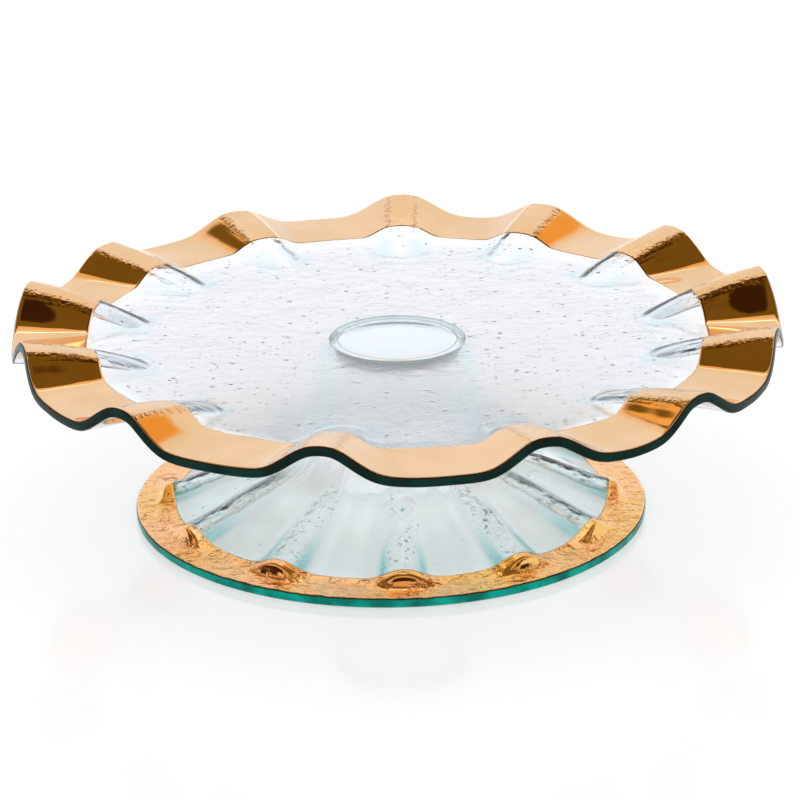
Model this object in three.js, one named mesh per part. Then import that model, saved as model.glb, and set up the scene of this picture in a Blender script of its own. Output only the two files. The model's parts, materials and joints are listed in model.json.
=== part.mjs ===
// Ruffled glass cake stand with gold lustre bands: a flat plate with a hand-pulled, wavy
// rim, bonded on top of a ridged, trumpet-shaped glass pedestal.
// Units are millimetres, +Z is up, and the origin is on the table under the plate's centre.
// Bearings are in degrees, counter-clockwise from +X when seen from above.

import * as THREE from 'three';

// ---- Driving dimensions -------------------------------------------------------------------

const GLASS_THICKNESS = 4.8;      // 3/16 in sheet glass, for the plate and the pedestal alike
const FIT_GAP = 0.3;              // clearance between solids that touch on the real object
const FILM_THICKNESS = 0.3;       // stands for the fired gold lustre, which is only microns thick
const ADHESIVE_THICKNESS = 0.6;   // clear optical adhesive between the plate and the pedestal

const PLATE_RADIUS = 184;         // 14.5 in across the ruffle
const PLATE_TOP = 88;             // height of the flat cake surface
const RUFFLE_START = 119;         // radius at which the ruffle rises out of the flat surface
const RUFFLE_BEND = 0.5;          // how much steeper the crests rise at their start than on average
const CREST_TOP = 5.8;            // half the width of a crest's flat top
const CREST_HALF_WIDTH = 15;      // from a crest's middle to half-way down its flank, at the rim
const SHOULDER_SOFTNESS = 4.8;    // roundness of a crest's shoulders, in mm
const TROUGH_SOFTNESS = 0.3;      // and of the foot of its flanks, as a share of its rise
const PLATE_BAND_INNER = 148;     // inner radius of the gold band on the plate
const ADHESIVE_RADIUS = 32.5;     // the adhesive wets the glass out to just past the flat top disc

const PEDESTAL_TOP = PLATE_TOP - GLASS_THICKNESS - ADHESIVE_THICKNESS - 2 * FIT_GAP;
const NECK_RADIUS = 38;           // outside of the neck, just under its shoulder
const SHOULDER_RADIUS = 9.5;      // round between the flat top disc and the neck
const FOOT_RADIUS = 123.3;        // outside of the flat flange that stands on the table
const FLANGE_INNER = 112;         // where the flare runs out into the flat flange
const FOOT_OFFSET = -4.3;         // the flange was slumped this far off the neck's centre, along X
const FOOT_BAND_INNER = 104;      // inner radius of the gold band on the foot

const RIDGE_HEIGHT = 6;           // of the pedestal's ridges, at their noses
const RIDGE_NOSE_END = 113.5;     // radius of the foot of each ridge's steep, rounded nose
const RIDGE_NOSE_RUN = 5.5;       // radial run of that nose
const RIDGE_INNER_END = 44;       // radius at which the ridges die out on the neck
const RIDGE_FADE = 0.6;           // how slowly a ridge gets lower towards the neck
const RIDGE_HALF_WIDTH = 5;       // degrees off a ridge's crown where it is half as high
const RIDGE_FLATNESS = 2.2;       // 2 makes a bell-shaped ridge, more a flatter one

// The crests of the plate's ruffle, each with its bearing and its rise above the flat surface.
// They are pulled by hand over the kiln form, so no two are the same.
const PLATE_CRESTS = [
  { bearing: -163.5, rise: 16.5 },
  { bearing: -133, rise: 15 },
  { bearing: -101, rise: 14 },
  { bearing: -69, rise: 13.5 },
  { bearing: -42, rise: 14.5 },
  { bearing: -13, rise: 15.5 },
  { bearing: 11, rise: 21 },
  { bearing: 39.5, rise: 15.5 },
  { bearing: 65, rise: 12 },
  { bearing: 89, rise: 12.5 },
  { bearing: 117, rise: 11 },
  { bearing: 143.5, rise: 12 },
  { bearing: 170.5, rise: 19 },
];

// The pedestal's ridges lie about 30 degrees apart. Their bearings are about the foot's centre.
const FOOT_RIDGES = [-152, -119.5, -87, -56, -27.5, 1, 31, 60.5, 90, 119.5, 149, 177.5]
  .map((bearing) => ({ bearing, rise: RIDGE_HEIGHT }));

const PLATE_STEPS_PER_CREST = 10;
const FOOT_STEPS_PER_RIDGE = 8;

// ---- Waves round a circle -----------------------------------------------------------------

// A wave runs from crest to crest. `turn` goes from 0 to 1 once round the object, and each
// space between two neighbouring crests takes an equal share of it.
function waveCell(crests, turn) {
  const place = (((turn % 1) + 1) % 1) * crests.length;
  const index = Math.min(Math.floor(place), crests.length - 1);
  const here = crests[index];
  const next = crests[(index + 1) % crests.length];
  const spacing = (next.bearing - here.bearing + 360) % 360;
  return { here, next, spacing, along: place - index };
}

function waveBearing(crests, turn) {
  const { here, spacing, along } = waveCell(crests, turn);
  return THREE.MathUtils.degToRad(here.bearing + along * spacing);
}

// The rise that rules at a place, which passes from crest to crest in the trough, and how many
// degrees the place lies off the nearest crest.
function nearestCrest(crests, turn) {
  const { here, next, spacing, along } = waveCell(crests, turn);
  const nextShare = THREE.MathUtils.smoothstep(along, 0.3, 0.7);
  return {
    rise: THREE.MathUtils.lerp(here.rise, next.rise, nextShare),
    degreesOff: Math.min(along, 1 - along) * spacing,
  };
}

// The value where it is above 0, or else 0, rounded over where the two meet.
function softClip(value, softness) {
  return (value + Math.hypot(value, softness)) / 2;
}

// ---- The two sheets of glass, as surfaces -------------------------------------------------

// The share of a crest's rise that is reached at a radius: it starts with a clear bend and
// gets less steep towards the rim.
function ruffleShare(radius) {
  const way = (radius - RUFFLE_START) / (PLATE_RADIUS - RUFFLE_START);
  const share = THREE.MathUtils.clamp(way, 0, 1);
  return share * (1 + RUFFLE_BEND * (1 - share));
}

// The plate's upper face over a radius of the flat blank. The flanks of a crest are equally
// steep all along it, so it widens as it rises, and as the sheet doesn't stretch, it draws in.
function plateSurface(radius, turn) {
  const bearing = waveBearing(PLATE_CRESTS, turn);
  const { rise, degreesOff } = nearestCrest(PLATE_CRESTS, turn);
  const share = ruffleShare(radius);
  const beside = radius * THREE.MathUtils.degToRad(degreesOff) - CREST_TOP;
  const fall = softClip(beside, SHOULDER_SOFTNESS) / (2 * (CREST_HALF_WIDTH - CREST_TOP));
  const height = share > 0 ? rise * softClip(share - fall, TROUGH_SOFTNESS * share) : 0;
  const reach = radius - height ** 2 / (2 * Math.max(radius - RUFFLE_START, 1));
  return new THREE.Vector3(
    reach * Math.cos(bearing),
    reach * Math.sin(bearing),
    PLATE_TOP + height,
  );
}

// The pedestal's outer skin without its ridges, from the axis to the flange's edge.
function pedestalMeridian() {
  const shoulder = new THREE.Vector2(NECK_RADIUS - SHOULDER_RADIUS, PEDESTAL_TOP - SHOULDER_RADIUS);
  const waist = new THREE.Vector2(64, 24);
  return {
    disc: new THREE.LineCurve(
      new THREE.Vector2(0, PEDESTAL_TOP),
      new THREE.Vector2(shoulder.x, PEDESTAL_TOP),
    ),
    shoulder: new THREE.EllipseCurve(
      shoulder.x, shoulder.y, SHOULDER_RADIUS, SHOULDER_RADIUS, Math.PI / 2, 0, true,
    ),
    neck: new THREE.CubicBezierCurve(
      new THREE.Vector2(NECK_RADIUS, shoulder.y),
      new THREE.Vector2(NECK_RADIUS, 50),
      new THREE.Vector2(44, 31.5),
      waist,
    ),
    flare: new THREE.CubicBezierCurve(
      waist,
      new THREE.Vector2(84, 16.5),
      new THREE.Vector2(100, GLASS_THICKNESS),
      new THREE.Vector2(FLANGE_INNER, GLASS_THICKNESS),
    ),
    flange: new THREE.LineCurve(
      new THREE.Vector2(FLANGE_INNER, GLASS_THICKNESS),
      new THREE.Vector2(FOOT_RADIUS, GLASS_THICKNESS),
    ),
  };
}

function ridgeShare(radius) {
  const nose = THREE.MathUtils.clamp((RIDGE_NOSE_END - radius) / RIDGE_NOSE_RUN, 0, 1);
  const fadeLength = RIDGE_NOSE_END - RIDGE_NOSE_RUN - RIDGE_INNER_END;
  const fade = THREE.MathUtils.clamp((radius - RIDGE_INNER_END) / fadeLength, 0, 1);
  return Math.sin(nose * Math.PI / 2) * fade ** RIDGE_FADE;
}

// How far the pedestal's centre line lies off the plate's centre at a height. The flat flange
// lies off it by one amount all over, so that it stays round and flat.
function pedestalOffset(height) {
  return FOOT_OFFSET * (PEDESTAL_TOP - Math.max(height, GLASS_THICKNESS)) / PEDESTAL_TOP;
}

// A point on the pedestal, `depth` outside its outer skin. `station` is a point of the
// meridian with its normal. The ridges push both skins outwards by the same amount.
function pedestalPoint(station, depth, turn) {
  const bearing = waveBearing(FOOT_RIDGES, turn);
  const { rise, degreesOff } = nearestCrest(FOOT_RIDGES, turn);
  const roundness = 0.5 ** ((degreesOff / RIDGE_HALF_WIDTH) ** RIDGE_FLATNESS);
  const ridge = ridgeShare(station.point.x) * rise * roundness;
  const radius = station.point.x + station.normal.x * (depth + ridge);
  return new THREE.Vector3(
    pedestalOffset(station.point.y) + radius * Math.cos(bearing),
    radius * Math.sin(bearing),
    station.point.y + station.normal.y * (depth + ridge),
  );
}

// ---- Making solids ------------------------------------------------------------------------

// Splits the quads of a lathe's first outline segments along their other diagonal.
function flipDiagonals(geometry, segments, outlineLength, steps) {
  const index = geometry.getIndex();
  for (let step = 0; step < steps; step += 1) {
    for (let segment = 0; segment < segments; segment += 1) {
      const here = step * outlineLength + segment;
      const beside = here + outlineLength;
      const corners = [here, beside, beside + 1, here, beside + 1, here + 1];
      index.array.set(corners, 6 * (step * (outlineLength - 1) + segment));
    }
  }
}

// Turns a closed outline into a solid of revolution, then moves each of its vertices to
// place(outline point number, turn). Both ends of the seam get the same turn, so it closes.
// The lower skin is split along the same diagonals as the upper one, so that the sheet is
// equally thick all over and fits what lies on it.
function foldedSolid(name, outline, lowerSegments, steps, place, material) {
  const geometry = new THREE.LatheGeometry(outline, steps);
  flipDiagonals(geometry, lowerSegments, outline.length, steps);
  const position = geometry.getAttribute('position');
  for (let step = 0; step <= steps; step += 1) {
    const turn = (step % steps) / steps;
    outline.forEach((point, number) => {
      const moved = place(number, turn);
      position.setXYZ(step * outline.length + number, moved.x, moved.y, moved.z);
    });
  }
  geometry.computeVertexNormals();
  const mesh = new THREE.Mesh(geometry, material);
  mesh.name = name;
  return mesh;
}

// The outline of a flat sheet between two depths, with its rings at the given radii: out
// along the lower face and back along the upper one. A sheet that starts off the axis is
// closed by its first point again.
function sheetOutline(radii, lower, upper) {
  const outwards = radii.map((radius) => new THREE.Vector2(radius, lower));
  const inwards = [...radii].reverse().map((radius) => new THREE.Vector2(radius, upper));
  const closing = radii[0] > 0 ? [outwards[0].clone()] : [];
  return [...outwards, ...inwards, ...closing];
}

// The upward normal of the plate's surface, which is what keeps the glass equally thick.
function plateNormal(radius, turn) {
  const step = 1e-4;
  const outward = plateSurface(radius + step, turn).sub(plateSurface(radius - step, turn));
  const around = plateSurface(radius, turn + step).sub(plateSurface(radius, turn - step));
  const normal = outward.cross(around);
  return radius > RUFFLE_START ? normal.normalize() : new THREE.Vector3(0, 0, 1);
}

// A piece of the plate's sheet: a flat blank between two depths, slumped into the ruffle.
function plateSheet(name, radii, lower, upper, material) {
  const blank = sheetOutline(radii, lower, upper);
  const steps = PLATE_CRESTS.length * PLATE_STEPS_PER_CREST;
  const place = (number, turn) => {
    const { x: radius, y: depth } = blank[number];
    return plateSurface(radius, turn).addScaledVector(plateNormal(radius, turn), depth);
  };
  return foldedSolid(name, blank, radii.length - 1, steps, place, material);
}

// Points of the pedestal's meridian with their outward normals, as many on each stretch as
// its shape needs.
function pedestalStations(stepsOnStretch) {
  const stretches = pedestalMeridian();
  return Object.entries(stepsOnStretch).flatMap(([stretch, steps], order) => {
    const curve = stretches[stretch];
    const first = order === 0 ? 0 : 1;
    return Array.from({ length: steps + 1 - first }, (_, number) => {
      const share = (number + first) / steps;
      const tangent = curve.getTangent(share);
      const normal = new THREE.Vector2(-tangent.y, tangent.x);
      return { point: curve.getPoint(share), normal };
    });
  });
}

// A piece of the pedestal's sheet between two depths, over the given stations.
function pedestalSheet(name, stations, lower, upper, material) {
  const blank = sheetOutline(stations.map((station) => station.point.x), lower, upper);
  const steps = FOOT_RIDGES.length * FOOT_STEPS_PER_RIDGE;
  const last = stations.length - 1;
  const place = (number, turn) => {
    const order = number <= last ? number : (2 * last + 1 - number);
    return pedestalPoint(stations[Math.max(order, 0)], blank[number].y, turn);
  };
  return foldedSolid(name, blank, last, steps, place, material);
}

// ---- Materials ----------------------------------------------------------------------------

function clearGlass() {
  return new THREE.MeshStandardMaterial({
    color: 0xdcebee, roughness: 0.05, metalness: 0, transparent: true, opacity: 0.45,
  });
}

function goldLustre(roughness) {
  return new THREE.MeshStandardMaterial({ color: 0xd9a066, roughness, metalness: 1 });
}

function clearAdhesive() {
  return new THREE.MeshStandardMaterial({
    color: 0xeef4f4, roughness: 0.1, metalness: 0, transparent: true, opacity: 0.5,
  });
}

// ---- The pieces ---------------------------------------------------------------------------

function ruffleRadii(from, rings) {
  return Array.from({ length: rings + 1 }, (_, ring) => from + (PLATE_RADIUS - from) * ring / rings);
}

function plateGlass() {
  const radii = [0, 60, ...ruffleRadii(RUFFLE_START, 7)];
  return plateSheet('plate_glass', radii, -GLASS_THICKNESS, 0, clearGlass());
}

function plateGoldBand() {
  const radii = ruffleRadii(PLATE_BAND_INNER, 3);
  const lower = FIT_GAP;
  return plateSheet('plate_gold_band', radii, lower, lower + FILM_THICKNESS, goldLustre(0.12));
}

function adhesiveBond() {
  const geometry = new THREE.CylinderGeometry(ADHESIVE_RADIUS, ADHESIVE_RADIUS, ADHESIVE_THICKNESS, 48);
  const mesh = new THREE.Mesh(geometry, clearAdhesive());
  mesh.name = 'adhesive_bond';
  mesh.rotation.x = Math.PI / 2;
  mesh.position.z = PEDESTAL_TOP + FIT_GAP + ADHESIVE_THICKNESS / 2;
  return mesh;
}

function pedestalGlass() {
  const stations = pedestalStations({ disc: 1, shoulder: 3, neck: 4, flare: 8, flange: 2 });
  return pedestalSheet('pedestal_glass', stations, -GLASS_THICKNESS, 0, clearGlass());
}

function pedestalGoldBand() {
  const stations = pedestalStations({ flare: 8, flange: 2 })
    .filter((station) => station.point.x >= FOOT_BAND_INNER);
  const lower = FIT_GAP;
  return pedestalSheet('pedestal_gold_band', stations, lower, lower + FILM_THICKNESS, goldLustre(0.3));
}

const cakeStand = new THREE.Group();
cakeStand.name = 'cake_stand';
cakeStand.add(plateGlass(), plateGoldBand(), adhesiveBond(), pedestalGlass(), pedestalGoldBand());

export default cakeStand;
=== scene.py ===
import json
import math

import bpy
import numpy as np
from mathutils import Matrix, Vector, noise


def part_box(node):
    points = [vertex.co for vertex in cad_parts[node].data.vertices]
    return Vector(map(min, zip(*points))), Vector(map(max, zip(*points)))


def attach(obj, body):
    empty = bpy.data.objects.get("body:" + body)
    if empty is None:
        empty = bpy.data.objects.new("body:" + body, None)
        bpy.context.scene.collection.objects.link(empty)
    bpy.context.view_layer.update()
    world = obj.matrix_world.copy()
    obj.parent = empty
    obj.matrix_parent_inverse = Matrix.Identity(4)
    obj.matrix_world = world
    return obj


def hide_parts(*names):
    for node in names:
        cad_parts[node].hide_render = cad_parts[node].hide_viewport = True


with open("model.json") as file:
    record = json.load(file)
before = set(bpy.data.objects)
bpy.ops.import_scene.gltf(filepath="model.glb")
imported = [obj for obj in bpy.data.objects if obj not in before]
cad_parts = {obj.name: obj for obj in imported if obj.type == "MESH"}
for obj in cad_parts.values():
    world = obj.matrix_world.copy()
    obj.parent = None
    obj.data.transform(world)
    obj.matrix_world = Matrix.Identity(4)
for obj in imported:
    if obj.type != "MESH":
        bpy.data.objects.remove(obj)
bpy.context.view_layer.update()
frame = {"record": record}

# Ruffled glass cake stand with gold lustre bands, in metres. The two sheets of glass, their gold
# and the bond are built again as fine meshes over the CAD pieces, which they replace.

# ---- Sizes, from the frame ------------------------------------------------------------------

MM = 0.001

PLATE_LOW, PLATE_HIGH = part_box("plate_glass")
PEDESTAL_LOW, PEDESTAL_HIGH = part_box("pedestal_glass")
BOND_LOW, BOND_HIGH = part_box("adhesive_bond")
MOUNTS = {mount["name"]: mount for mount in frame["record"]["mounts"]}

PLATE_RADIUS = (PLATE_HIGH[1] - PLATE_LOW[1]) / 2
PLATE_TOP = MOUNTS["cake_face"]["pos_m"][2]
GLASS = PLATE_TOP - PLATE_LOW[2]                 # thickness of both sheets of glass
FOOT_RADIUS = (PEDESTAL_HIGH[1] - PEDESTAL_LOW[1]) / 2
FOOT_CENTRE_X = (PEDESTAL_HIGH[0] + PEDESTAL_LOW[0]) / 2
PEDESTAL_TOP = PEDESTAL_HIGH[2]
BOND_RADIUS = (BOND_HIGH[0] - BOND_LOW[0]) / 2

# ---- Shape ----------------------------------------------------------------------------------

ARRIS = 1.1 * MM                                 # fire-polished round on every glass edge
RUFFLE_START = 119 * MM
RUFFLE_BEND = 0.5                                # how much steeper the crests rise at their start
RUFFLE_EASE = 0.06                               # how softly they start, as a share of their length
CREST_TOP = 5.8 * MM                             # half the width of a crest's flat top
CREST_HALF_WIDTH = 15 * MM                       # from its middle to half-way down its flank
SHOULDER_START = 3.2 * MM                        # softness of a crest's shoulders where it starts
SHOULDER_RIM = 4.8 * MM                          # and at the rim
TROUGH_SOFTNESS = (0.1, 0.22)                    # of the foot of a flank: at its start, and what
                                                 # a full rise adds
PLATE_BAND_INNER = 148 * MM

NECK_RADIUS = 38 * MM
SHOULDER = 9.5 * MM
WAIST = (64 * MM, 24 * MM)                       # where the neck passes into the flare
FLANGE_INNER = 112 * MM
FOOT_BAND_INNER = 104 * MM
RIDGE_HEIGHT = 6 * MM
RIDGE_NOSE_END = 113.5 * MM
RIDGE_NOSE_RUN = 5.5 * MM
RIDGE_INNER_END = 44 * MM
RIDGE_FADE = 0.6
RIDGE_HALF_WIDTH = math.radians(5)               # at half height, as seen from the foot's centre
RIDGE_FLATNESS = 2.2                             # 2 is a bell; more is flatter on top and steeper

FILM_LIFT = 0.04 * MM                            # gold film above the glass
FILM = 0.03 * MM                                 # and its thickness
EDGE_FACING = math.radians(68)                   # the edge's colour reaches this far round its arris
ARRIS_LINE = (math.radians(2), math.radians(30)) # where a dark line starts at its upper arris
FILM_WRAP = math.radians(50)                     # how far down the rounded arris the gold reaches

# Crests of the plate's ruffle: bearing in degrees, counter-clockwise from +X, and rise in mm.
PLATE_CRESTS = [
    (-163.5, 16.5),
    (-133, 15),
    (-101, 14),
    (-69, 13.5),
    (-42, 14.5),
    (-13, 15.5),
    (11, 21),
    (39.5, 15.5),
    (65, 12),
    (89, 12.5),
    (117, 11),
    (143.5, 12),
    (170.5, 19),
]
FOOT_RIDGES = [(bearing, RIDGE_HEIGHT / MM)
               for bearing in (-152, -119.5, -87, -56, -27.5, 1, 31, 60.5, 90, 119.5, 149, 177.5)]

PLATE_STEPS = 40 * len(PLATE_CRESTS)
FOOT_STEPS = 50 * len(FOOT_RIDGES)


def smooth_step(value, low, high):
    share = np.clip((value - low) / (high - low), 0, 1)
    return share * share * (3 - 2 * share)


def soft_clip(value, softness):
    """The value where it is above 0, or else 0, rounded over where the two meet."""
    return (value + np.sqrt(value * value + softness * softness)) / 2


def places_round(crests, steps):
    """Places round a circle, the same number between any two crests: their bearings, the rise that
    holds there, and how far round they lie from the nearest crest. Angles are in radians."""
    place = np.arange(steps) / steps * len(crests)
    cell = place.astype(int)
    along = place - cell
    bearings = np.array([bearing for bearing, _ in crests])
    rises = np.array([rise for _, rise in crests]) * MM
    spacing = (np.roll(bearings, -1) - bearings) % 360
    next_share = smooth_step(along, 0.3, 0.7)
    rise = (1 - next_share) * rises[cell] + next_share * np.roll(rises, -1)[cell]
    off_crest = np.radians(np.minimum(along, 1 - along) * spacing[cell])
    return np.radians(bearings[cell] + along * spacing[cell]), rise, off_crest


def noise_field(points, size, octaves):
    """Fractal noise, about -1 to 1, with features of `size`, at an array of points."""
    flat = (points / size).reshape(-1, 3)
    values = [noise.fractal(Vector(point), 1.0, 2.0, octaves) for point in flat]
    return np.array(values).reshape(points.shape[:-1])


# ---- Sheets of glass and their films --------------------------------------------------------
# A section is three arrays, one number for each of its points: the distance across the sheet,
# the depth under its upper face, and the angle that the point faces, from straight down (-90
# degrees) over outwards (0) to straight up (90).

def sheet_section(under, upper, rim):
    """Half-section of a sheet: out along the underside, round the rim, and back along the top."""
    angle = np.radians(np.concatenate([np.linspace(-90, 0, 6), np.linspace(0, 90, 6)]))
    centre = np.repeat([ARRIS - GLASS, -ARRIS], 6)
    return (
        np.concatenate([under, rim - ARRIS + ARRIS * np.cos(angle), upper[::-1]]),
        np.concatenate([np.full(len(under), -GLASS), centre + ARRIS * np.sin(angle), np.zeros(len(upper))]),
        np.concatenate([np.full(len(under), -math.pi / 2), angle, np.full(len(upper), math.pi / 2)]),
    )


def film_section(sheet, start):
    """Section of the gold film over a sheet's upper face, from `start` out over the arris."""
    kept = [values[(sheet[2] > FILM_WRAP) & (sheet[0] > start - 0.01 * MM)] for values in sheet]
    skins = []
    for lift in (FILM_LIFT + FILM, FILM_LIFT):
        skins.append((kept[0] + lift * np.cos(kept[2]), kept[1] + lift * np.sin(kept[2]), kept[2]))
    return tuple(np.concatenate([outer, inner[::-1]]) for outer, inner in zip(*skins))


def grid_mesh(name, points, closed_section, values, edge=None):
    """A closed mesh from points[section point, step]. Unless the section is closed, its two ends
    lie on the axis, and each becomes one point. `values` are named arrays of one number for each
    point, kept as attributes for the materials. Faces between `edge` points get the second one."""
    rows, steps = points.shape[:2]
    kept = np.ones((rows, steps), dtype=bool)
    if not closed_section:
        kept[[0, -1], 1:] = False
    ids = (np.cumsum(kept.ravel()) - 1).reshape(rows, steps)
    if not closed_section:
        ids[-1] = ids[-1, 0]
    lower = ids if closed_section else ids[:-1]
    upper = np.roll(ids, -1, axis=0) if closed_section else ids[1:]
    corners = [lower, np.roll(lower, -1, axis=1), np.roll(upper, -1, axis=1), upper]
    quads = np.stack(corners, axis=-1).reshape(-1, 4)
    faces = [list(dict.fromkeys(quad)) for quad in quads.tolist()]
    mesh = bpy.data.meshes.new(name)
    mesh.from_pydata(points[kept].tolist(), [], faces)
    for label, value in values.items():
        layer = mesh.attributes.new(label, "FLOAT", "POINT")
        spread = np.broadcast_to(value, kept.shape)[kept]
        layer.data.foreach_set("value", np.ascontiguousarray(spread, dtype=np.float32))
    if edge is not None:
        mesh.polygons.foreach_set("material_index", np.repeat(edge[:-1] & edge[1:], steps).astype(np.int32))
    mesh.shade_smooth()
    piece = bpy.data.objects.new(name, mesh)
    bpy.context.scene.collection.objects.link(piece)
    return piece


# ---- The plate ------------------------------------------------------------------------------

SWAY = 0.5 * MM                                  # hand-made unevenness of the ruffle
SWAY_SIZE = 32 * MM
CREST_ROUND = 2 * MM                             # keeps the middle of a crest's top from creasing
TEXTURE_END = (136 * MM, 150 * MM)               # where the texture of the underside runs out
GRAIN_START = (127 * MM, 142 * MM)               # and where the grain of the crests comes in
GRAIN_WIDTH = 2 * MM                             # of the grain along a crest's shoulder
GRAIN_ON_TOP = 0.3                               # the part of it that the crest's top has
# Teal is painted on the start of each crest's flanks, for the light seen along inside the glass.
PAINTED_TEAL_START = (117 * MM, 122 * MM)                # radii over which the painted teal of a crest comes in
PAINTED_TEAL_END = 127 * MM                              # from here it fades out to the gold
PAINTED_TEAL_SIDES = (10 * MM, 18 * MM)                  # how far beside the crest it runs out
NORMAL_STEP = 0.05 * MM                          # over which the surface's slope is measured


def plate_surface(radius, bearing, rise, off_crest):
    """The plate's upper face over a radius of its flat blank. The flanks of a crest are equally
    steep all along it, so it widens as it rises, and as the sheet doesn't stretch, it draws in."""
    way = np.clip((radius - RUFFLE_START) / (PLATE_RADIUS - RUFFLE_START), 0, 1)
    way = (1 + RUFFLE_EASE) * way * way / (way + RUFFLE_EASE)
    share = way * (1 + RUFFLE_BEND * (1 - way))
    beside = np.hypot(radius * off_crest, CREST_ROUND) - CREST_ROUND - CREST_TOP
    shoulder = SHOULDER_START + (SHOULDER_RIM - SHOULDER_START) * way
    fall = soft_clip(beside, shoulder) / (2 * (CREST_HALF_WIDTH - CREST_TOP))
    flat = np.stack([radius * np.cos(bearing), radius * np.sin(bearing), np.zeros_like(radius)], axis=-1)
    height = rise * soft_clip(share - fall, share * (TROUGH_SOFTNESS[0] + TROUGH_SOFTNESS[1] * share))
    height += share * SWAY * noise_field(flat, SWAY_SIZE, 2)
    reach = radius - height * height / (2 * np.maximum(radius - RUFFLE_START, 1 * MM))
    return np.stack([reach * np.cos(bearing), reach * np.sin(bearing), PLATE_TOP + height], axis=-1)


def plate_points(across, depth):
    """Points of the slumped plate, from distances across its flat blank and depths in it."""
    bearing, rise, off_crest = places_round(PLATE_CRESTS, PLATE_STEPS)
    radius = np.minimum(across, PLATE_RADIUS)[:, None] * np.ones_like(bearing)
    surface = plate_surface(radius, bearing, rise, off_crest)
    outward = surface - plate_surface(radius - NORMAL_STEP, bearing, rise, off_crest)
    around = np.roll(surface, -1, axis=1) - np.roll(surface, 1, axis=1)
    normal = np.cross(outward, around)
    normal /= np.maximum(np.linalg.norm(normal, axis=-1, keepdims=True), 1e-20)
    normal[radius <= RUFFLE_START] = (0, 0, 1)
    beyond = (across - PLATE_RADIUS).clip(0)[:, None, None] * outward
    return surface + normal * depth[:, None, None] + beyond / NORMAL_STEP


def crest_texture(across):
    """1 along both shoulders of each crest, less on its top, and 0 elsewhere."""
    _, _, off_crest = places_round(PLATE_CRESTS, PLATE_STEPS)
    distance = across[:, None] * off_crest
    on_shoulder = np.exp(-((distance - CREST_TOP - 1 * MM) / GRAIN_WIDTH) ** 2)
    on_top = GRAIN_ON_TOP * (1 - smooth_step(distance, CREST_TOP, CREST_TOP + GRAIN_WIDTH))
    on_ruffle = smooth_step(across, *GRAIN_START)[:, None]
    return np.maximum(on_shoulder, on_top) * on_ruffle


def painted_crest_teal(across):
    """1 on the steep flanks at the start of each crest, where one looks along inside the glass; the
    teal painted there stands in for that light.
    """
    _, _, off_crest = places_round(PLATE_CRESTS, PLATE_STEPS)
    distance = across[:, None] * off_crest
    beside = smooth_step(distance, 1 * MM, CREST_TOP) * (1 - smooth_step(distance, *PAINTED_TEAL_SIDES))
    start = smooth_step(across, *PAINTED_TEAL_START)
    end = 1 - smooth_step(across, PAINTED_TEAL_END, PLATE_BAND_INNER)
    return (start * end)[:, None] * beside


def plate_section():
    inner = np.array([0, 15, BOND_RADIUS / MM, BOND_RADIUS / MM + 0.1, 60, 90]) * MM
    ruffle = np.linspace(RUFFLE_START - 3 * MM, PLATE_BAND_INNER, 26)
    band = np.linspace(PLATE_BAND_INNER, PLATE_RADIUS - ARRIS, 28)[1:-1]
    rings = np.concatenate([inner, ruffle, band])
    return sheet_section(rings, rings, PLATE_RADIUS)


def make_plate():
    across, depth, facing = plate_section()
    under = (facing < -1.5)[:, None]
    bonded = under & (across < BOND_RADIUS + 0.05 * MM)[:, None]
    flat = 1 - smooth_step(across, *TEXTURE_END)[:, None]
    values = {
        "bonded": bonded,
        "tinted": painted_crest_teal(across),
        "texture": under * ~bonded * flat,
        "crest": crest_texture(across) * ~under,
        "arris": smooth_step(facing, *ARRIS_LINE)[:, None],
    }
    return grid_mesh("plate", plate_points(across, depth), False, values, np.abs(facing) < EDGE_FACING)


def make_plate_gold():
    across, depth, _ = film_section(plate_section(), PLATE_BAND_INNER)
    return grid_mesh("plate_gold", plate_points(across, depth), True, {"crest": crest_texture(across)})


# ---- The pedestal ---------------------------------------------------------------------------

HAMMER = 0.28 * MM                               # hammered relief of the flange
HAMMER_SIZE = 5 * MM
RIDGE_GRAIN = 0.22 * MM                          # kiln texture along the ridges
RIDGE_GRAIN_SIZE = 3.5 * MM
LOBE_SWELL = 0.25 * MM                           # soft swells between the ridges
LOBE_SWELL_SIZE = 22 * MM
FLARE_START = (42 * MM, 66 * MM)                 # radii over which the clear neck becomes the flare
FLARE_TEXTURE = 0.25                             # share of the ridges' texture that all the flare has
CROWN_TEXTURE = 0.5                              # and that the upper face has on the ridges
FLARE_TINT = 0.15                                # share of its full tint that all of the flare has
NOSE_PAINTED_TEAL = (76 * MM, 104 * MM)                  # radii over which the flanks of a ridge darken with painted teal
NECK_CLARITY = 0.97                              # how far the neck's faces vanish, as fine glass does
DISC_FLAT = NECK_RADIUS - SHOULDER               # radius of the flat on top of the pedestal
SLOPE_STEP = 0.5 * MM                            # over which the meridian's slope is measured


def bezier(points, steps):
    t = np.linspace(0, 1, steps)[:, None]
    a, b, c, d = [np.array(p) for p in points]
    return (1 - t) ** 3 * a + 3 * (1 - t) ** 2 * t * b + 3 * (1 - t) * t ** 2 * c + t ** 3 * d


def pedestal_meridian():
    """Dense points (radius, height) of the outer skin, from the axis to the flange's edge."""
    quarter = np.linspace(np.pi / 2, 0, 12)
    shoulder = np.stack([
        DISC_FLAT + SHOULDER * np.cos(quarter),
        PEDESTAL_TOP - SHOULDER + SHOULDER * np.sin(quarter),
    ], axis=1)
    neck_top = (NECK_RADIUS, PEDESTAL_TOP - SHOULDER)
    neck = bezier([neck_top, (NECK_RADIUS, 50 * MM), (44 * MM, 31.5 * MM), WAIST], 60)
    flare = bezier([WAIST, (84 * MM, 16.5 * MM), (100 * MM, GLASS), (FLANGE_INNER, GLASS)], 60)
    return np.concatenate([
        [(0, PEDESTAL_TOP)], shoulder, neck[1:], flare[1:], [(FOOT_RADIUS, GLASS)],
    ])


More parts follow.
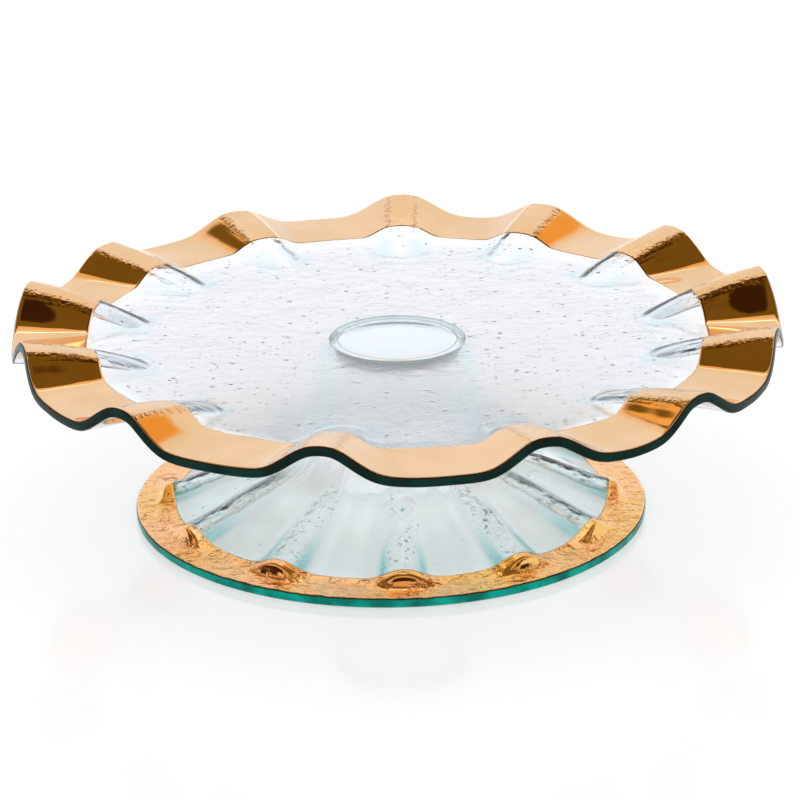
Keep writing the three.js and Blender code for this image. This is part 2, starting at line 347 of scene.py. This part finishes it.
def meridian_reach():
    """The meridian's points and how far along it each one lies."""
    line = pedestal_meridian()
    return line, np.concatenate([[0], np.cumsum(np.linalg.norm(np.diff(line, axis=0), axis=1))])


def along_meridian(distance):
    """Radius, height and outward normal of the skin at distances along it from the axis."""
    line, reach = meridian_reach()
    radius = np.interp(distance, reach, line[:, 0])
    height = np.interp(distance, reach, line[:, 1])
    ahead = np.minimum(distance + SLOPE_STEP, reach[-1])
    behind = np.maximum(distance - SLOPE_STEP, 0)
    dr = np.interp(ahead, reach, line[:, 0]) - np.interp(behind, reach, line[:, 0])
    dz = np.interp(ahead, reach, line[:, 1]) - np.interp(behind, reach, line[:, 1])
    length = np.maximum(np.hypot(dr, dz), 1e-12)
    return radius + np.maximum(distance - reach[-1], 0), height, -dz / length, dr / length


def reach_at(radius):
    """How far along the meridian the skin reaches a radius."""
    line, reach = meridian_reach()
    return np.interp(radius, line[:, 0], reach)


def ridge_share(radius):
    nose = np.clip((RIDGE_NOSE_END - radius) / RIDGE_NOSE_RUN, 0, 1)
    fade_length = RIDGE_NOSE_END - RIDGE_NOSE_RUN - RIDGE_INNER_END
    fade = np.clip((radius - RIDGE_INNER_END) / fade_length, 0, 1)
    return np.sin(nose * np.pi / 2) * fade ** RIDGE_FADE


def ridge_height():
    """Bearings round the foot, and how high the ridges are there at their highest."""
    bearing, rise, off_ridge = places_round(FOOT_RIDGES, FOOT_STEPS)
    return bearing, rise * 0.5 ** ((off_ridge / RIDGE_HALF_WIDTH) ** RIDGE_FLATNESS)


def ridge_texture(across):
    """1 along the crown of each ridge of the pedestal, 0 between the ridges."""
    _, ridge = ridge_height()
    radius = along_meridian(across)[0][:, None]
    return smooth_step(ridge / RIDGE_HEIGHT, 0.3, 0.85) * smooth_step(ridge_share(radius), 0.1, 0.5)


def painted_flank_teal(across):
    """1 half-way down the flanks of each ridge near its nose, 0 on its crown and between ridges.
    Painted teal goes there, for the light seen along inside the glass.
    """
    _, ridge = ridge_height()
    share = ridge / RIDGE_HEIGHT
    radius = along_meridian(across)[0][:, None]
    return (4 * share * (1 - share)) ** 8 * smooth_step(radius, *NOSE_PAINTED_TEAL)


def pedestal_points(across, depth, upper):
    """Points of the pedestal. `upper` is 1 on the face that has the relief, 0 on the smooth one."""
    bearing, ridge = ridge_height()
    radius, height, normal_r, normal_z = [values[:, None] for values in along_meridian(across)]
    centre_x = FOOT_CENTRE_X * (PEDESTAL_TOP - np.maximum(height, GLASS)) / (PEDESTAL_TOP - GLASS)

    def place(push):
        out = radius + normal_r * push
        up = height + normal_z * push
        return np.stack([centre_x + out * np.cos(bearing), out * np.sin(bearing), up], axis=-1)

    push = depth[:, None] + ridge_share(radius) * ridge
    smooth = place(push)
    flange = smooth_step(radius, FOOT_BAND_INNER - 4 * MM, FOOT_BAND_INNER + 2 * MM)
    on_ridge = ridge_texture(across)
    relief = flange * (1 - on_ridge) * HAMMER * noise_field(smooth, HAMMER_SIZE, 3)
    relief += (1 - flange) * on_ridge * RIDGE_GRAIN * noise_field(smooth, RIDGE_GRAIN_SIZE, 3)
    relief += (1 - flange) * LOBE_SWELL * noise_field(smooth, LOBE_SWELL_SIZE, 2)
    off_disc = smooth_step(radius, BOND_RADIUS, NECK_RADIUS + 4 * MM)
    return place(push + upper[:, None] * off_disc * relief)


def pedestal_section():
    _, reach = meridian_reach()
    rim = reach[-1]
    disc = [0, 15 * MM, DISC_FLAT]
    bond, band = reach_at(BOND_RADIUS), reach_at(FOOT_BAND_INNER)
    upper = np.concatenate([
        disc, [31 * MM, bond, bond + 0.1 * MM],
        np.linspace(bond + 2 * MM, band, 80), np.linspace(band, rim - ARRIS, 18)[1:-1],
    ])
    under = np.concatenate([disc, np.linspace(31 * MM, rim - 2 * ARRIS, 46)])
    return sheet_section(under, upper, rim)


def make_pedestal():
    across, depth, facing = pedestal_section()
    upper = (facing > 0) * 1.0
    bonded = (facing > 1.5)[:, None] & (across < reach_at(BOND_RADIUS) + 0.05 * MM)[:, None]
    radius = along_meridian(across)[0][:, None]
    flare = smooth_step(radius, *FLARE_START)
    faint = NECK_CLARITY * (1 - flare) * smooth_step(radius, DISC_FLAT, NECK_RADIUS - 2 * MM)
    on_ridge = ridge_texture(across)
    values = {
        "bonded": np.maximum(bonded, faint),
        "tinted": flare * (FLARE_TINT + (1 - FLARE_TINT) * painted_flank_teal(across)),
        "texture": np.where(
            upper[:, None] > 0, CROWN_TEXTURE * on_ridge,
            flare * (FLARE_TEXTURE + (1 - FLARE_TEXTURE) * on_ridge)),
        "crest": on_ridge * upper[:, None],
        "arris": smooth_step(facing, *ARRIS_LINE)[:, None],
    }
    points = pedestal_points(across, depth, upper)
    return grid_mesh("pedestal", points, False, values, np.abs(facing) < EDGE_FACING)


def make_pedestal_gold():
    across, depth, _ = film_section(pedestal_section(), reach_at(FOOT_BAND_INNER))
    points = pedestal_points(across, depth, np.ones_like(across))
    return grid_mesh("pedestal_gold", points, True, {"crest": ridge_texture(across)})


# ---- The bond -------------------------------------------------------------------------------

FLAT_END_LINE = 0.35                             # how much of a fine line at the disc's flat is lost


def make_bond():
    """Clear adhesive between the plate and the pedestal's top, out to where the shoulder falls
    away, with a drawn-in rim."""
    steps = 120
    gap = 0.02 * MM
    bearing = np.arange(steps) / steps * 2 * np.pi
    high = PLATE_TOP - GLASS - gap
    radii = np.concatenate([[0, 15 * MM, DISC_FLAT - 0.5 * MM], np.linspace(DISC_FLAT, BOND_RADIUS, 7)])
    fall = SHOULDER - np.sqrt(SHOULDER ** 2 - (radii - DISC_FLAT).clip(0) ** 2)
    lower = np.stack([radii, PEDESTAL_TOP + gap - fall], axis=1)
    waist = [(BOND_RADIUS - 0.5 * MM, (lower[-1, 1] + high) / 2)]
    outline = np.concatenate([lower, waist, [(BOND_RADIUS, high), (15 * MM, high), (0, high)]])
    points = np.array([[(r * np.cos(b), r * np.sin(b), z) for b in bearing] for r, z in outline])
    bonded = np.ones(len(outline))
    bonded[len(lower)] = 0
    bonded[radii.searchsorted(DISC_FLAT)] = FLAT_END_LINE
    return grid_mesh("bond", points, False, {"bonded": bonded[:, None]})


# ---- Materials ------------------------------------------------------------------------------
# Relief is given as (features per metre, height in millimetres), and the spread of pits as (radius
# as a share of their cell, share of the cells that have one).

GLASS_SWELL = (45, 0.3)
GLASS_RIPPLE = (140, 0.14)
GLASS_GRAIN = (300, 0.9)
GLASS_DENTS = (150, -0.42)
DENT_SPREAD = (0.17, 0.4)
GLASS_SPECKS = (330, -0.16)
SPECK_SPREAD = (0.26, 0.25)
GOLD_SWELL = (45, 0.12)
GRAIN_SCALE = 420                                # features per metre of the gold's grain
HAMMER_SCALE = 380                               # and of the fine relief between its dents
GRAIN_ROUGHNESS = 0.06                           # what the grain adds to the gold's roughness
ARRIS_COLOUR = (0.018, 0.007, 0.004, 1)          # dark line that runs along the upper arris
RUST = (0.42, 0.13, 0.03, 1)
ADHESIVE_DARK = (0.02, 0.20, 0.21, 1)
ADHESIVE_PALE = (0.10, 0.38, 0.38, 1)
CLEAR = (1, 1, 1, 1)


def new_material(name):
    material = bpy.data.materials.new(name)
    material.use_nodes = True
    material.node_tree.nodes.clear()
    return material, material.node_tree


def add_node(tree, kind, **settings):
    node = tree.nodes.new(kind)
    for name, value in settings.items():
        if name in node.inputs:
            node.inputs[name].default_value = value
        else:
            setattr(node, name, value)
    return node


def feed(tree, socket, value):
    """Links an output to a socket, or sets the socket to a plain value."""
    if isinstance(value, bpy.types.NodeSocket):
        tree.links.new(value, socket)
    else:
        socket.default_value = value


def maths(tree, operation, *values):
    node = add_node(tree, "ShaderNodeMath", operation=operation)
    for socket, value in zip(node.inputs, values):
        feed(tree, socket, value)
    return node.outputs[0]


def ramp_between(tree, value, low, high, start=0.0, end=1.0):
    """Goes smoothly from `start` to `end` while value goes from low to high."""
    node = add_node(tree, "ShaderNodeMapRange", interpolation_type="SMOOTHSTEP")
    for name, number in (("Value", value), ("From Min", low), ("From Max", high),
                         ("To Min", start), ("To Max", end)):
        feed(tree, node.inputs[name], number)
    return node.outputs[0]


def add_up(tree, *values):
    total = values[0]
    for value in values[1:]:
        total = maths(tree, "ADD", total, value)
    return total


def mix_colours(tree, share, first, second):
    node = add_node(tree, "ShaderNodeMix", data_type="RGBA")
    feed(tree, node.inputs[0], share)
    feed(tree, node.inputs[6], first)
    feed(tree, node.inputs[7], second)
    return node.outputs[2]


def attribute(tree, name):
    return add_node(tree, "ShaderNodeAttribute", attribute_name=name).outputs["Fac"]


def noise_texture(tree, place, scale, detail=2):
    node = add_node(tree, "ShaderNodeTexNoise", Scale=scale, Detail=detail)
    tree.links.new(place, node.inputs["Vector"])
    return node.outputs["Fac"]


def noise_relief(tree, place, size, detail=3):
    scale, height = size
    return maths(tree, "MULTIPLY", noise_texture(tree, place, scale, detail), height)


def bump_from(tree, height):
    """A normal bent by a height in millimetres."""
    bump = add_node(tree, "ShaderNodeBump", Distance=1 * MM)
    tree.links.new(height, bump.inputs["Height"])
    return bump.outputs[0]


def pits(tree, place, scale, radius, share):
    """1 in round pits, each in a cell of size 1 / scale; only a share of the cells has one."""
    cells = add_node(tree, "ShaderNodeTexVoronoi", Scale=scale)
    tree.links.new(place, cells.inputs["Vector"])
    split = add_node(tree, "ShaderNodeSeparateColor")
    tree.links.new(cells.outputs["Color"], split.inputs[0])
    chosen = maths(tree, "LESS_THAN", split.outputs[0], share)
    hole = ramp_between(tree, cells.outputs["Distance"], 0.3 * radius, radius, 1.0, 0.0)
    return maths(tree, "MULTIPLY", hole, chosen)


def glass_material(name, density, absorbed, tint, pit_shade_colour, frost):
    """Clear float glass. It is textured and pitted where it lay in the kiln, with painted shade in the pits
    and spots of the crests' grain. It has a tint on the pedestal's flare, and painted teal where one
    looks along inside the glass, and its faces vanish where it is bonded."""
    material, tree = new_material(name)
    output = add_node(tree, "ShaderNodeOutputMaterial")
    glass = add_node(tree, "ShaderNodeBsdfPrincipled", IOR=1.52)
    glass.inputs["Transmission Weight"].default_value = 1
    absorption = add_node(tree, "ShaderNodeVolumeAbsorption", Density=density)
    absorption.inputs["Color"].default_value = (*absorbed, 1)
    tree.links.new(absorption.outputs[0], output.inputs["Volume"])

    place = add_node(tree, "ShaderNodeTexCoord").outputs["Object"]
    texture = attribute(tree, "texture")
    crest = attribute(tree, "crest")
    dent = pits(tree, place, GLASS_DENTS[0], *DENT_SPREAD)
    speck = pits(tree, place, GLASS_SPECKS[0], *SPECK_SPREAD)
    patches = maths(tree, "MULTIPLY", ramp_between(tree, noise_texture(tree, place, 70, 2), 0.35, 0.6), crest)
    spots = ramp_between(tree, noise_texture(tree, place, 430, 3), 0.57, 0.65)
    broken = maths(tree, "MULTIPLY", spots, patches)
    shaded_patches = maths(tree, "MULTIPLY", ramp_between(tree, noise_texture(tree, place, 30, 2), 0.4, 0.62), texture)
    # Painted shade: pits in the textured patches and spots along the crests' grain take the dark colour.
    shade = maths(tree, "MAXIMUM", maths(tree, "MULTIPLY", dent, shaded_patches), broken)
    plain = mix_colours(tree, attribute(tree, "tinted"), CLEAR, (*tint, 1))
    feed(tree, glass.inputs["Base Color"], mix_colours(tree, shade, plain, (*pit_shade_colour, 1)))
    feed(tree, glass.inputs["Roughness"], ramp_between(tree, texture, 0, 1, 0.0, frost))

    under = add_up(
        tree, noise_relief(tree, place, GLASS_SWELL, 2), noise_relief(tree, place, GLASS_RIPPLE),
        maths(tree, "MULTIPLY", dent, GLASS_DENTS[1]), maths(tree, "MULTIPLY", speck, GLASS_SPECKS[1]))
    height = add_up(
        tree, maths(tree, "MULTIPLY", under, texture),
        maths(tree, "MULTIPLY", noise_relief(tree, place, GLASS_GRAIN), patches))
    tree.links.new(bump_from(tree, height), glass.inputs["Normal"])

    clear = add_node(tree, "ShaderNodeBsdfTransparent")
    bonded = add_node(tree, "ShaderNodeMixShader")
    feed(tree, bonded.inputs[0], attribute(tree, "bonded"))
    tree.links.new(glass.outputs[0], bonded.inputs[1])
    tree.links.new(clear.outputs[0], bonded.inputs[2])
    tree.links.new(bonded.outputs[0], output.inputs["Surface"])
    return material


def edge_material(name, deep, bright):
    """The sheet's edge, where all the light that runs inside the glass comes out green."""
    material, tree = new_material(name)
    output = add_node(tree, "ShaderNodeOutputMaterial")
    edge = add_node(tree, "ShaderNodeBsdfPrincipled", Roughness=0.15, IOR=1.52)
    edge.inputs["Specular IOR Level"].default_value = 0.08
    place = add_node(tree, "ShaderNodeTexCoord").outputs["Object"]
    streaks = ramp_between(tree, noise_texture(tree, place, 75, 4), 0.35, 0.7)
    green = mix_colours(tree, streaks, (*deep, 1), (*bright, 1))
    feed(tree, edge.inputs["Base Color"], mix_colours(
        tree, attribute(tree, "arris"), green, ARRIS_COLOUR))
    ground = add_node(tree, "ShaderNodeBump", Distance=0.05 * MM)
    feed(tree, ground.inputs["Height"], noise_texture(tree, place, 900, 2))
    tree.links.new(ground.outputs[0], edge.inputs["Normal"])
    tree.links.new(edge.outputs[0], output.inputs["Surface"])
    return material


def adhesive_material():
    """Clear adhesive, whose faces vanish against the glass and whose rim shows as a fine line."""
    material, tree = new_material("optical_adhesive")
    output = add_node(tree, "ShaderNodeOutputMaterial")
    body = add_node(tree, "ShaderNodeBsdfPrincipled", Roughness=0.05, IOR=1.48)
    body.inputs["Transmission Weight"].default_value = 0.05
    place = add_node(tree, "ShaderNodeTexCoord").outputs["Object"]
    uneven = noise_texture(tree, place, 300, 2)
    feed(tree, body.inputs["Base Color"], mix_colours(tree, uneven, ADHESIVE_DARK, ADHESIVE_PALE))
    clear = add_node(tree, "ShaderNodeBsdfTransparent")
    bonded = add_node(tree, "ShaderNodeMixShader")
    feed(tree, bonded.inputs[0], attribute(tree, "bonded"))
    tree.links.new(body.outputs[0], bonded.inputs[1])
    tree.links.new(clear.outputs[0], bonded.inputs[2])
    tree.links.new(bonded.outputs[0], output.inputs["Surface"])
    return material


def gold_material(name, light, deep, rust, roughness, grain_depth, hammer_depth):
    """Fired gold lustre: mirror-bright, with a broken grain where the glass lay on the kiln form."""
    material, tree = new_material(name)
    output = add_node(tree, "ShaderNodeOutputMaterial")
    gold = add_node(tree, "ShaderNodeBsdfPrincipled", Metallic=1)
    place = add_node(tree, "ShaderNodeTexCoord").outputs["Object"]
    crest = attribute(tree, "crest")
    tone = ramp_between(tree, noise_texture(tree, place, 24, 4), 0.4, 0.6)
    spots = ramp_between(tree, noise_texture(tree, place, 170, 3), 0.60, 0.68, 0.0, rust)
    spots = maths(tree, "MULTIPLY", spots, ramp_between(tree, noise_texture(tree, place, 20, 2), 0.45, 0.6))
    lustre = mix_colours(tree, tone, (*light, 1), (*deep, 1))
    feed(tree, gold.inputs["Base Color"], mix_colours(tree, spots, lustre, RUST))
    feed(tree, gold.inputs["Roughness"], ramp_between(
        tree, crest, 0, 1, roughness, roughness + GRAIN_ROUGHNESS))

    broken = maths(tree, "MULTIPLY", noise_relief(tree, place, (GRAIN_SCALE, grain_depth)), crest)
    dents = ramp_between(tree, noise_texture(tree, place, 150, 3), 0.36, 0.5, 0.0, hammer_depth)
    hammered = add_up(tree, dents, noise_relief(tree, place, (HAMMER_SCALE, 0.8 * hammer_depth)))
    hammered = maths(tree, "MULTIPLY", hammered, maths(tree, "SUBTRACT", 1.0, crest))
    height = add_up(tree, broken, hammered, noise_relief(tree, place, GOLD_SWELL, 2))
    tree.links.new(bump_from(tree, height), gold.inputs["Normal"])
    tree.links.new(gold.outputs[0], output.inputs["Surface"])
    return material


# ---- Stage ----------------------------------------------------------------------------------

def make_floor():
    bpy.ops.mesh.primitive_plane_add(size=12, location=(0, 0, -0.2 * MM))
    floor = bpy.context.object
    floor.name = "floor"
    material, tree = new_material("floor_white")
    output = add_node(tree, "ShaderNodeOutputMaterial")
    shader = add_node(tree, "ShaderNodeBsdfPrincipled", Roughness=0.12)
    shader.inputs["Base Color"].default_value = (0.5, 0.5, 0.5, 1)
    shader.inputs["Emission Color"].default_value = (1, 1, 1, 1)
    shader.inputs["Emission Strength"].default_value = 0.5
    tree.links.new(shader.outputs[0], output.inputs["Surface"])
    floor.data.materials.append(material)


# The studio is painted by direction: x to the right, y away from the camera, z up, each -1 to 1.
# A pair of numbers is where a soft edge starts and ends.

WHITE = (0.96, 0.98, 1.02, 1)
WARM_WALL = (0.98, 0.64, 0.30, 1)
GLOW = (3, 3, 3, 1)
WARM_PANEL = (0.95, 0.5, 0.12, 1)
LAMP = (1.0, 0.6, 0.2, 1)
BROWN = (0.19, 0.11, 0.016, 1)
DARK_BROWN = (0.042, 0.017, 0.005, 1)
PANEL_START = (0.46, 0.50)                       # where the two panels start behind the stand


def soft_band(tree, value, rise, fall):
    """1 between two soft edges and 0 outside them."""
    falling = ramp_between(tree, value, *fall, 1.0, 0.0)
    return maths(tree, "MULTIPLY", ramp_between(tree, value, *rise), falling)


def cove_colour(tree, past, y):
    """White far from the ceiling, warm close to it, with a glowing line where that starts."""
    cove = mix_colours(tree, ramp_between(tree, past, -0.34, -0.04), WHITE, WARM_WALL)
    glow = soft_band(tree, past, (-0.40, -0.37), (-0.36, -0.33))
    glow = maths(tree, "MULTIPLY", glow, ramp_between(tree, y, 0.68, 0.74, 1.0, 0.0))
    return mix_colours(tree, glow, cove, GLOW)


def with_panels(tree, cove, x, y):
    """Adds the warm panel on the right, and on the left the brown one with its lamp."""
    right = soft_band(tree, y, PANEL_START, (0.62, 0.72))
    right = maths(tree, "MULTIPLY", right, ramp_between(tree, x, 0.36, 0.44))
    cove = mix_colours(tree, right, cove, WARM_PANEL)
    left = soft_band(tree, y, PANEL_START, (0.60, 0.66))
    left = maths(tree, "MULTIPLY", left, ramp_between(tree, x, -0.42, -0.36, 1.0, 0.0))
    cove = mix_colours(tree, left, cove, BROWN)
    lamp = maths(tree, "MULTIPLY", soft_band(tree, x, (-0.52, -0.50), (-0.46, -0.44)), left)
    return mix_colours(tree, lamp, cove, LAMP)


def ceiling_colour(tree, aside, y):
    """Brown, and nearly black in front of the stand and on both sides."""
    middle = ramp_between(tree, aside, 0.03, 0.09, -0.12, -0.37)
    sides = ramp_between(tree, aside, 0.3, 0.4, 0.0, 0.45)
    edge = maths(tree, "ADD", middle, sides)
    deep = ramp_between(tree, maths(tree, "SUBTRACT", edge, y), -0.03, 0.06)
    return mix_colours(tree, deep, BROWN, DARK_BROWN)


def studio_colour(tree, x, y, z):
    """The ceiling and the cove overhead, and white all round below them."""
    aside = maths(tree, "ABSOLUTE", x)
    ceiling_edge = ramp_between(tree, aside, 0.06, 0.22, 0.05, 0.47)
    past = maths(tree, "SUBTRACT", ceiling_edge, y)
    cove = with_panels(tree, cove_colour(tree, past, y), x, y)
    ceiling = ceiling_colour(tree, aside, y)
    above = mix_colours(tree, ramp_between(tree, past, -0.01, 0.02), cove, ceiling)
    overhead = ramp_between(tree, maths(tree, "MULTIPLY_ADD", x, -0.08, z), 0.50, 0.54)
    return mix_colours(tree, overhead, WHITE, above)


def make_world():
    """The studio that the gold and the glass mirror. The camera and matt faces see plain white."""
    world = bpy.data.worlds.new("studio")
    bpy.context.scene.world = world
    world.use_nodes = True
    tree = world.node_tree
    tree.nodes.clear()
    output = add_node(tree, "ShaderNodeOutputWorld")
    split = add_node(tree, "ShaderNodeSeparateXYZ")
    tree.links.new(add_node(tree, "ShaderNodeTexCoord").outputs["Generated"], split.inputs[0])
    studio = add_node(tree, "ShaderNodeBackground")
    feed(tree, studio.inputs[0], studio_colour(tree, *split.outputs))
    plain = add_node(tree, "ShaderNodeBackground", Strength=1.05)
    plain.inputs[0].default_value = CLEAR
    path = add_node(tree, "ShaderNodeLightPath")
    seen = add_node(tree, "ShaderNodeMixShader")
    feed(tree, seen.inputs[0], maths(
        tree, "MAXIMUM", path.outputs["Is Camera Ray"], path.outputs["Diffuse Depth"]))
    tree.links.new(studio.outputs[0], seen.inputs[1])
    tree.links.new(plain.outputs[0], seen.inputs[2])
    tree.links.new(seen.outputs[0], output.inputs[0])


def make_camera():
    elevation, roll = math.radians(20.6), math.radians(-0.67)
    pivot, distance = Vector((0, 0, 0.060)), 1.8806
    aim = Vector((0.0009, 0, 0.0549))
    data = bpy.data.cameras.new("camera")
    data.sensor_width = 36
    data.lens = 176.24
    data.clip_end = 50
    camera = bpy.data.objects.new("camera", data)
    bpy.context.scene.collection.objects.link(camera)
    camera.location = pivot + Vector((0, -math.cos(elevation), math.sin(elevation))) * distance
    look = (aim - camera.location).to_track_quat("-Z", "Y").to_matrix()
    camera.rotation_euler = (look @ Matrix.Rotation(roll, 3, "Z")).to_euler()
    bpy.context.scene.camera = camera


def dress(piece, node, slot, *materials):
    for material in materials:
        piece.data.materials.append(material)
    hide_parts(node)
    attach(piece, "root")


make_camera()
make_world()
make_floor()
bpy.context.scene.view_settings.view_transform = "Standard"
bpy.context.scene.cycles.max_bounces = 24
bpy.context.scene.cycles.transmission_bounces = 24

# The glass colours: the tint with its painted teal, then the painted shade of the pits and grain.
plate_glass = glass_material(
    "plate_glass_clear", 7, (0.0, 0.4, 1.0), (0.84, 0.96, 0.975), (0.30, 0.44, 0.46), 0.2)
plate_edge = edge_material("plate_glass_edge", (0.0, 0.010, 0.007), (0.0, 0.030, 0.021))
foot_glass = glass_material(
    "pedestal_glass_clear", 5, (0.0, 0.8, 0.9), (0.22, 0.66, 0.68), (0.08, 0.22, 0.23), 0.2)
foot_edge = edge_material("pedestal_glass_edge", (0.0, 0.16, 0.12), (0.0, 0.42, 0.33))
plate_gold = gold_material(
    "plate_gold_lustre", (0.93, 0.59, 0.32), (0.87, 0.54, 0.26), 0.0, 0.04, 1.4, 0.0)
foot_gold = gold_material(
    "foot_gold_lustre", (1.0, 0.54, 0.23), (0.95, 0.54, 0.15), 1.0, 0.05, 0.03, 0.4)

dress(make_plate(), "plate_glass", "clear_glass", plate_glass, plate_edge)
dress(make_pedestal(), "pedestal_glass", "clear_glass", foot_glass, foot_edge)
dress(make_plate_gold(), "plate_gold_band", "gold_lustre", plate_gold)
dress(make_pedestal_gold(), "pedestal_gold_band", "gold_lustre", foot_gold)
dress(make_bond(), "adhesive_bond", "clear_adhesive", adhesive_material())
